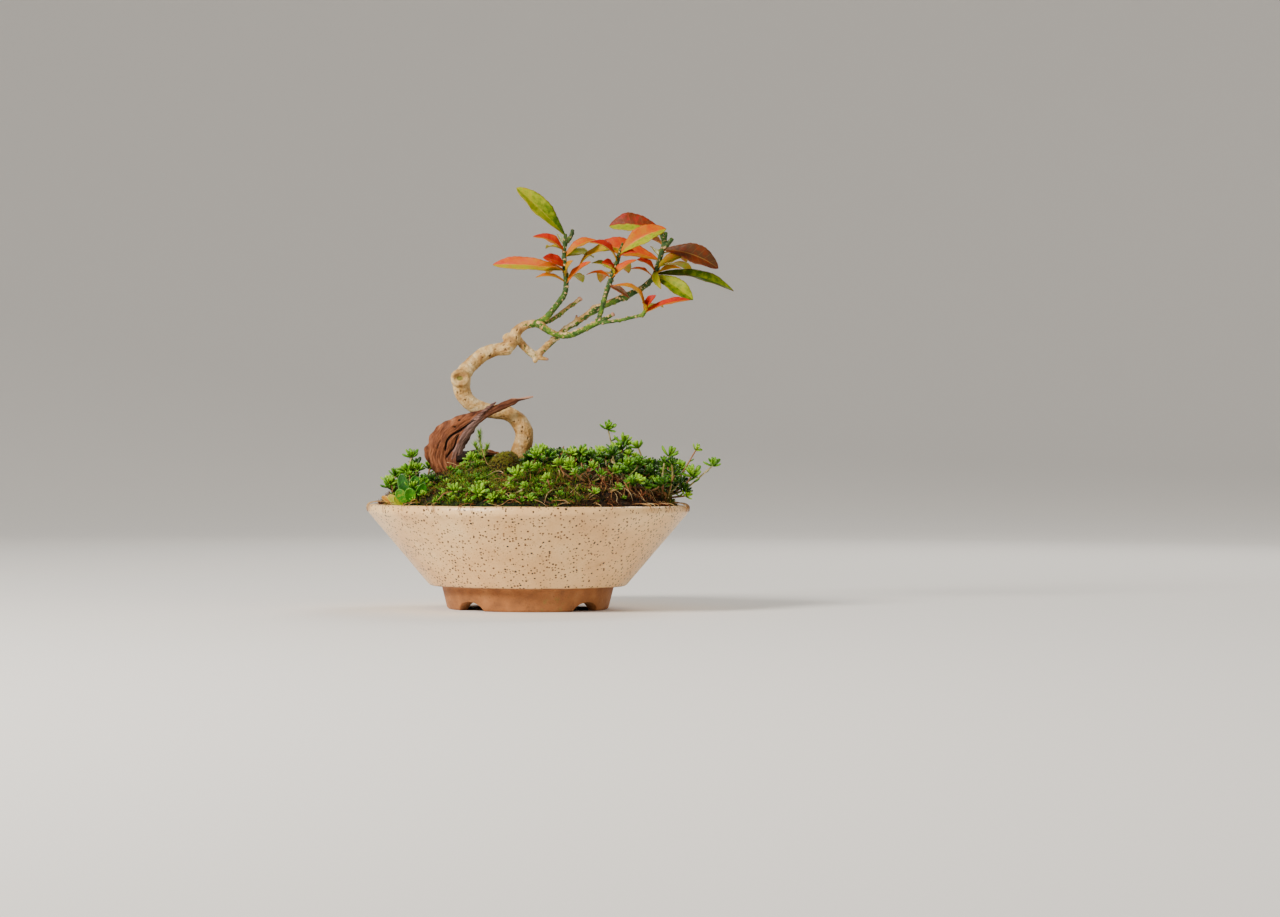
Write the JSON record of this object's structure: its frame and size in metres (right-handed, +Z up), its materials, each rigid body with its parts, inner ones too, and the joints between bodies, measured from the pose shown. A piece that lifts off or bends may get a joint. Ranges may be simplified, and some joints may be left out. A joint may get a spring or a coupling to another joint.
{
  "type": "potted bonsai tree",
  "caption": "Small bonsai in a round footed ceramic bowl: slim S-curved trunk, leafy shoots, a slab of weathered bark and a ground cover of moss and stonecrop.",
  "frame": {"origin": "on the surface that the pot stands on, under the middle of the whole object's footprint", "axes": "+Z up, -Y the front that the tree is seen from, +X to the right, the way the crown leans"},
  "size_m": [0.2289, 0.2, 0.2635],
  "materials": {
    "glaze": "satin",
    "screen_plastic": "matte",
    "soil": "matte",
    "moss": "matte",
    "cushion_moss": "matte",
    "pale_bark": "matte",
    "leaf": "satin",
    "weathered_bark": "matte",
    "stonecrop": "satin",
    "spoon_leaf": "satin"
  },
  "bodies": {
    "root": {"bark": "weathered_bark", "drain_screen": "screen_plastic", "fine_sprig": "stonecrop", "moss": "moss", "moss_cushion": "cushion_moss", "pot": "glaze", "sedum_back": "stonecrop", "sedum_back_left": "stonecrop", "sedum_back_middle": "stonecrop", "sedum_by_bark": "stonecrop", "sedum_centre": "stonecrop", "sedum_centre_right": "stonecrop", "sedum_front": "stonecrop", "sedum_front_left": "stonecrop", "sedum_front_right": "stonecrop", "sedum_left": "stonecrop", "sedum_left_back": "stonecrop", "sedum_right": "stonecrop", "sedum_right_back": "stonecrop", "sedum_right_front": "stonecrop", "sedum_tall": "stonecrop", "soil": "soil", "spoon_plant": "spoon_leaf", "spray_left": "leaf", "spray_low": "leaf", "spray_middle": "leaf", "spray_right": "leaf", "trunk": "pale_bark"}
  },
  "joints": []
}
